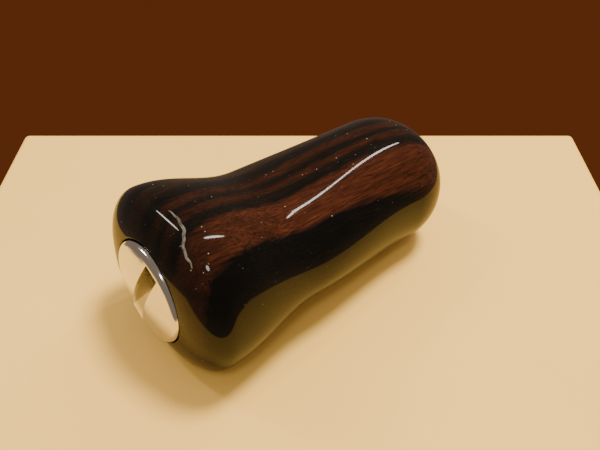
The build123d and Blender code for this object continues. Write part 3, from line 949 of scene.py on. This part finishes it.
class SLICKER_OT_spindle(bpy.types.Operator):
    """Model the flanged spindle, the closing ring around it and the liner behind them"""
    bl_idname = "slicker.spindle"
    bl_label = "Spindle, ring and liner"

    def execute(self, context):
        station_zero = GRIP_END_X - context.scene.slicker_grip.length
        steel = turned_metal("spindle_steel", (0.60, 0.60, 0.61), 0.24, ring_spacing=0.06,
                             relief=0.004)
        finish_piece(self.spindle(), steel, "spindle", "spindle", "spindle")
        satin = turned_metal("ring_aluminium", (0.66, 0.66, 0.68), 0.3, relief=0.005)
        finish_piece(self.closing_ring(), satin, "grip", "ring", "inboard_ring")
        bright = turned_metal("liner_aluminium", (0.72, 0.72, 0.73), 0.22, ring_spacing=0.07,
                              relief=0.004)
        finish_piece(self.liner(station_zero), bright, "grip", "liner", "liner_sleeve")
        return {"FINISHED"}

    def spindle(self):
        """Shaft and flange as one turned body, with a tapped hole in each end."""
        flange_x = SPINDLE_HIGH.x - FLANGE_THICKNESS
        flange_radius = SPINDLE_HIGH.y
        low, high = SPINDLE_LOW.x, SPINDLE_HIGH.x
        hole = TAPPED_MAJOR
        corners = [
            (low + TAPPED_DEPTH, 0.0), (low + TAPPED_DEPTH - DRILL_POINT, hole),
            (low + BREAK_EDGE, hole), (low, hole + BREAK_EDGE),
            (low, SPINDLE_SHAFT - SHAFT_CHAMFER), (low + SHAFT_CHAMFER, SPINDLE_SHAFT),
            (flange_x, SPINDLE_SHAFT), (flange_x, flange_radius - FLANGE_EDGE),
            (flange_x + FLANGE_EDGE, flange_radius), (high - BREAK_EDGE, flange_radius),
            (high, flange_radius - BREAK_EDGE), (high, hole + BREAK_EDGE),
            (high - BREAK_EDGE, hole), (high - TAPPED_DEPTH + DRILL_POINT, hole),
            (high - TAPPED_DEPTH, 0.0),
        ]
        piece = start_ring("spindle_body", *corners[1], SHAFT_POINTS)
        pull_round(piece, corners[:1])
        close_piece(piece)
        select_where(piece, lambda co: abs(co.x - corners[1][0]) < TOUCHING, "EDGE")
        pull_round(piece, corners[2:])
        close_piece(piece)
        bpy.ops.object.mode_set(mode="OBJECT")
        self.drill_spanner_holes(piece)
        turns = int((TAPPED_DEPTH - TAPPED_RUN_OUT) / TAPPED_PITCH)
        starts = {"arm_thread": high - TAPPED_RUN_IN - turns * TAPPED_PITCH,
                  "screw_thread": low + TAPPED_RUN_IN}
        ridges = [thread_ridge(name, TAPPED_MAJOR, TAPPED_MINOR, TAPPED_PITCH, start, turns,
                               TAPPED_STEPS_ROUND) for name, start in starts.items()]
        join_pieces(piece, *ridges)
        return piece

    def drill_spanner_holes(self, piece):
        """Two blind holes in the flange's face."""
        for side in (-1, 1):
            deselect()
            bpy.ops.mesh.primitive_cylinder_add(
                vertices=32, radius=SPANNER_HOLE_RADIUS, depth=2 * SPANNER_HOLE_DEPTH,
                location=(SPINDLE_HIGH.x, side * SPANNER_HOLE_OFFSET, 0), rotation=(0, pi / 2, 0))
            cutter = name_piece("spanner_hole_cutter")
            apply_modifier(piece, "BOOLEAN", operation="DIFFERENCE", solver="EXACT", object=cutter)
            bpy.data.objects.remove(cutter)

    def closing_ring(self):
        """A flanged ring whose spigot holds the near bearing in the liner."""
        spigot_x = RING_LOW.x
        seat_x = GRIP_END_X - RING_SEAT_DEPTH
        corners = [
            (spigot_x, RING_BORE), (spigot_x, BEARING_SEAT), (seat_x, BEARING_SEAT),
            (seat_x, RING_HIGH.y), (GRIP_END_X - BREAK_EDGE, RING_HIGH.y),
            (GRIP_END_X, RING_HIGH.y - BREAK_EDGE), (GRIP_END_X, RING_BORE + BREAK_EDGE),
            (GRIP_END_X - BREAK_EDGE, RING_BORE),
        ]
        return turned_piece("closing_ring", corners, RING_POINTS, RING_EDGE_BREAK)

    def liner(self, station_zero):
        """A sleeve with the cap's thread at one end and a seat for each bearing."""
        head_x, step_x = LINER_LOW.x, station_zero + LINER_STEP_AT
        outboard_end = OUTBOARD_BEARING_X + BEARING_WIDTH
        thread_end = station_zero + LINER_THREAD_END_AT
        corners = [
            (head_x, LINER_THREAD_MAJOR), (head_x, LINER_HIGH.y), (step_x, LINER_HIGH.y),
            (step_x, LINER_RADIUS), (LINER_HIGH.x, LINER_RADIUS), (LINER_HIGH.x, BEARING_SEAT),
            (INBOARD_BEARING_X, BEARING_SEAT), (INBOARD_BEARING_X, SHOULDER_BORE),
            (outboard_end, SHOULDER_BORE), (outboard_end, BEARING_SEAT),
            (thread_end, BEARING_SEAT), (thread_end, LINER_THREAD_MAJOR),
        ]
        piece = turned_piece("bearing_liner", corners, SHAFT_POINTS, LINER_EDGE_BREAK)
        pitch = bpy.context.scene.slicker_cap.thread_pitch
        ridge = thread_ridge("liner_thread", LINER_THREAD_MAJOR, LINER_THREAD_MINOR, pitch,
                             head_x + LINER_THREAD_RUN_IN - pitch / 2, LINER_THREAD_TURNS)
        join_pieces(piece, ridge)
        return piece


# CAD nodes that keep their shape, with the finish of each
BEARING_FINISHES = {
    "outer_race": "race", "inner_race": "race", "balls": "ball", "cage": "cage",
    "cap_side_shield": "shield", "arm_side_shield": "shield",
}
STACK_FINISHES = {
    "spacer_tube": "spacer", "outboard_shim": "shim", "inboard_shim": "shim",
    "plain_washer": "washer", "spring_washer": "washer", "retaining_screw": "screw",
}


class SLICKER_OT_bearings(bpy.types.Operator):
    """Give the bearings and the stack on the spindle their metals and plastics"""
    bl_idname = "slicker.bearings"
    bl_label = "Bearings and stack"

    def execute(self, context):
        materials = {
            "race": turned_metal("race_steel", (0.70, 0.70, 0.71), 0.16),
            "ball": turned_metal("ball_steel", (0.80, 0.80, 0.80), 0.06, relief=0.0005, wear=0.1),
            "shield": turned_metal("shield_steel", (0.66, 0.66, 0.67), 0.28, ring_spacing=0.1),
            "cage": cage_nylon(),
            "shim": turned_metal("shim_brass", (0.78, 0.58, 0.28), 0.27),
            "washer": turned_metal("washer_steel", (0.58, 0.58, 0.60), 0.32, ring_spacing=0.2),
            "screw": turned_metal("screw_steel", (0.40, 0.40, 0.41), 0.30, ring_spacing=0.08),
            "spacer": turned_metal("spacer_aluminium", (0.70, 0.70, 0.72), 0.26, ring_spacing=0.3),
        }
        for bearing in ("outboard", "inboard"):
            for part, kind in BEARING_FINISHES.items():
                self.paint(f"{bearing}_{part}", materials[kind], kind)
        for node, kind in STACK_FINISHES.items():
            self.paint(node, materials[kind], kind)
        return {"FINISHED"}

    def paint(self, node, material, slot):
        """Put a finish on a CAD node's object."""
        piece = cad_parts[node]
        for material_slot in piece.material_slots:
            material_slot.material = material
        if not piece.material_slots:
            piece.data.materials.append(material)


# The stage is laid out upright, with X across the camera's view and Z up.
BOARD_LOW = Vector((-40.0, -28.5)) * MM
BOARD_HIGH = Vector((41.3, 29.0)) * MM
BOARD_THICKNESS = 12.0 * MM
BOARD_EDGE_ROUND = 0.8 * MM

LAMP_DISTANCE = 350.0 * MM
LAMP_TINT = (1.0, 0.93, 0.82)
ALONG = None                    # a lamp whose long way lies along the spin axis
# (name, direction, long way, short and long span in millimetres, the setting of its power)
LAMPS = (
    ("key_lamp", (0.29, 0.12, 1.0), ALONG, (90, 90), "key_power"),
    ("long_lamp", (0.37, 0.50, 0.80), ALONG, (14, 120), "long_power"),
    ("front_lamp", (-0.02, -0.56, 0.83), ALONG, (45, 75), "front_power"),
    ("fill_lamp", (-0.63, 0.25, 0.73), (0.17, -0.21, 0.21), (25, 120), "fill_power"),
)
# (colour, strength) of the surroundings in soft light, in mirrored light and as they are seen
SOFT_SURROUNDINGS = ((1.0, 0.86, 0.66), 0.6)
MIRRORED_SURROUNDINGS = ((1.0, 0.80, 0.62), 0.22)
SEEN_SURROUNDINGS = ((0.30, 0.075, 0.022), 0.36)

# the camera's aim, a little off the grip's middle
AIM = Vector((0.84, 0.0, 0.0)) * MM
AIM_DROP = 0.367 * MM
SENSOR_WIDTH = 36.0


class SLICKER_OT_stage(bpy.types.Operator):
    """Lay the pale board, hang the soft lamps and set the camera"""
    bl_idname = "slicker.stage"
    bl_label = "Stage"

    def execute(self, context):
        settings, grip = context.scene.slicker_stage, context.scene.slicker_grip
        to_frame = self.stage_to_frame(settings, grip)
        self.board(to_frame, context.scene.slicker_finishes.board)
        spin_way = Vector((cos(settings.heading), sin(settings.heading), 0))
        for name, direction, long_way, spans, power in LAMPS:
            long_way = spin_way if long_way is ALONG else Vector(long_way)
            self.lamp(name, to_frame, Vector(direction), long_way, spans, getattr(settings, power))
        bpy.data.objects["key_lamp"].visible_glossy = False
        self.surroundings()
        self.camera(to_frame, settings)
        return {"FINISHED"}

    def stage_to_frame(self, settings, grip):
        """The stage's upright place, turned and leant as the grip lies on the board."""
        fall = grip.cap_half_height - grip.arm_half_height
        lean = atan2(fall, grip.arm_bulge_at - grip.cap_bulge_at)
        middle = Matrix.Translation((GRIP_END_X - grip.length / 2, 0, 0))
        return middle @ Matrix.Rotation(-lean, 4, "Y") @ Matrix.Rotation(-settings.heading, 4, "Z")

    def board(self, to_frame, tint):
        """A pale board whose top touches the lowest point of the grip."""
        deselect()
        upright = to_frame.inverted()
        wood = bpy.data.objects["grip_wood"].data
        drop = min((upright @ vert.co).z for vert in wood.vertices)
        middle, span = (BOARD_LOW + BOARD_HIGH) / 2, BOARD_HIGH - BOARD_LOW
        bpy.ops.mesh.primitive_cube_add(
            size=1, location=(middle.x, middle.y, drop - BOARD_THICKNESS / 2))
        board = bpy.context.object
        board.scale = (span.x, span.y, BOARD_THICKNESS)
        name_piece("board")
        apply_modifier(board, "BEVEL", width=BOARD_EDGE_ROUND, segments=4)
        board.data.transform(to_frame)
        finish = Finish("pale_board", Roughness=0.6, Specular_IOR_Level=0.3)
        cloud = finish.limits(finish.noise((0.03, 0.03, 0.03)), 0.3, 0.7, 0.97, 1.03)
        finish.join(finish.scaled(tuple(tint), cloud), "Base Color")
        board.data.materials.append(finish.material)

    def lamp(self, name, to_frame, direction, long_way, spans, power):
        """A soft oval lamp that looks at the grip."""
        deselect()
        towards = direction.normalized()
        bpy.ops.object.light_add(type="AREA")
        lamp = bpy.context.object
        lamp.name = name
        lamp.data.shape = "ELLIPSE"
        lamp.data.size, lamp.data.size_y = (span * MM for span in spans)
        lamp.data.energy = power
        lamp.data.color = LAMP_TINT
        long_way = (long_way - towards * long_way.dot(towards)).normalized()
        axes = Matrix((long_way.cross(towards), long_way, towards)).transposed().to_4x4()
        lamp.matrix_world = to_frame @ Matrix.Translation(towards * LAMP_DISTANCE) @ axes

    def surroundings(self):
        """Warm surroundings, dimmer where they are mirrored or seen."""
        world = bpy.data.worlds.new("surroundings")
        bpy.context.scene.world = world
        world.use_nodes = True
        nodes, links = world.node_tree.nodes, world.node_tree.links
        soft = nodes["Background"]
        mirrored, seen = (nodes.new("ShaderNodeBackground") for _ in range(2))
        for background, (tint, strength) in ((soft, SOFT_SURROUNDINGS),
                                             (mirrored, MIRRORED_SURROUNDINGS),
                                             (seen, SEEN_SURROUNDINGS)):
            background.inputs["Color"].default_value = (*tint, 1.0)
            background.inputs["Strength"].default_value = strength
        ray = nodes.new("ShaderNodeLightPath")
        unseen, whole = (nodes.new("ShaderNodeMixShader") for _ in range(2))
        links.new(ray.outputs["Is Glossy Ray"], unseen.inputs[0])
        links.new(soft.outputs[0], unseen.inputs[1])
        links.new(mirrored.outputs[0], unseen.inputs[2])
        links.new(ray.outputs["Is Camera Ray"], whole.inputs[0])
        links.new(unseen.outputs[0], whole.inputs[1])
        links.new(seen.outputs[0], whole.inputs[2])
        links.new(whole.outputs[0], nodes["World Output"].inputs["Surface"])

    def camera(self, to_frame, settings):
        """Look down at the grip from the front of the board."""
        deselect()
        pitch = settings.camera_pitch
        back = Vector((0, -cos(pitch), sin(pitch)))
        rise = Vector((0, sin(pitch), cos(pitch)))
        place = AIM + back * settings.camera_distance - rise * AIM_DROP
        bpy.ops.object.camera_add()
        camera = bpy.context.object
        camera.name = "camera"
        camera.data.lens = settings.lens
        camera.data.sensor_width = SENSOR_WIDTH
        camera.data.clip_start = 1 * MM
        turned = Matrix.Rotation(pi / 2 - pitch, 4, "X")
        camera.matrix_world = to_frame @ Matrix.Translation(place) @ turned
        bpy.context.scene.camera = camera


OPERATORS = (SLICKER_OT_grip, SLICKER_OT_cap, SLICKER_OT_spindle, SLICKER_OT_bearings,
             SLICKER_OT_stage)
SETTINGS = {
    "slicker_grip": SlickerGripSizes,
    "slicker_cap": SlickerCapSizes,
    "slicker_finishes": SlickerFinishes,
    "slicker_stage": SlickerStage,
}


class SLICKER_PT_panel(bpy.types.Panel):
    """The steps that build the slicker, and their settings"""
    bl_idname = "SLICKER_PT_panel"
    bl_label = "Edge Slicker"
    bl_space_type = "VIEW_3D"
    bl_region_type = "UI"
    bl_category = "Slicker"

    def draw(self, context):
        for operator in OPERATORS:
            self.layout.operator(operator.bl_idname)
        for name, kind in SETTINGS.items():
            box = self.layout.box()
            for setting in kind.__annotations__:
                box.prop(getattr(context.scene, name), setting)


CLASSES = (*SETTINGS.values(), *OPERATORS, SLICKER_PT_panel)


def register():
    for cls in CLASSES:
        bpy.utils.register_class(cls)
    for name, kind in SETTINGS.items():
        setattr(bpy.types.Scene, name, PointerProperty(type=kind))


def unregister():
    for name in SETTINGS:
        delattr(bpy.types.Scene, name)
    for cls in reversed(CLASSES):
        bpy.utils.unregister_class(cls)


def main():
    register()
    bpy.ops.slicker.grip()
    bpy.ops.slicker.cap()
    bpy.ops.slicker.spindle()
    bpy.ops.slicker.bearings()
    bpy.ops.slicker.stage()
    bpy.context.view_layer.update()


if __name__ == "__main__":
    main()
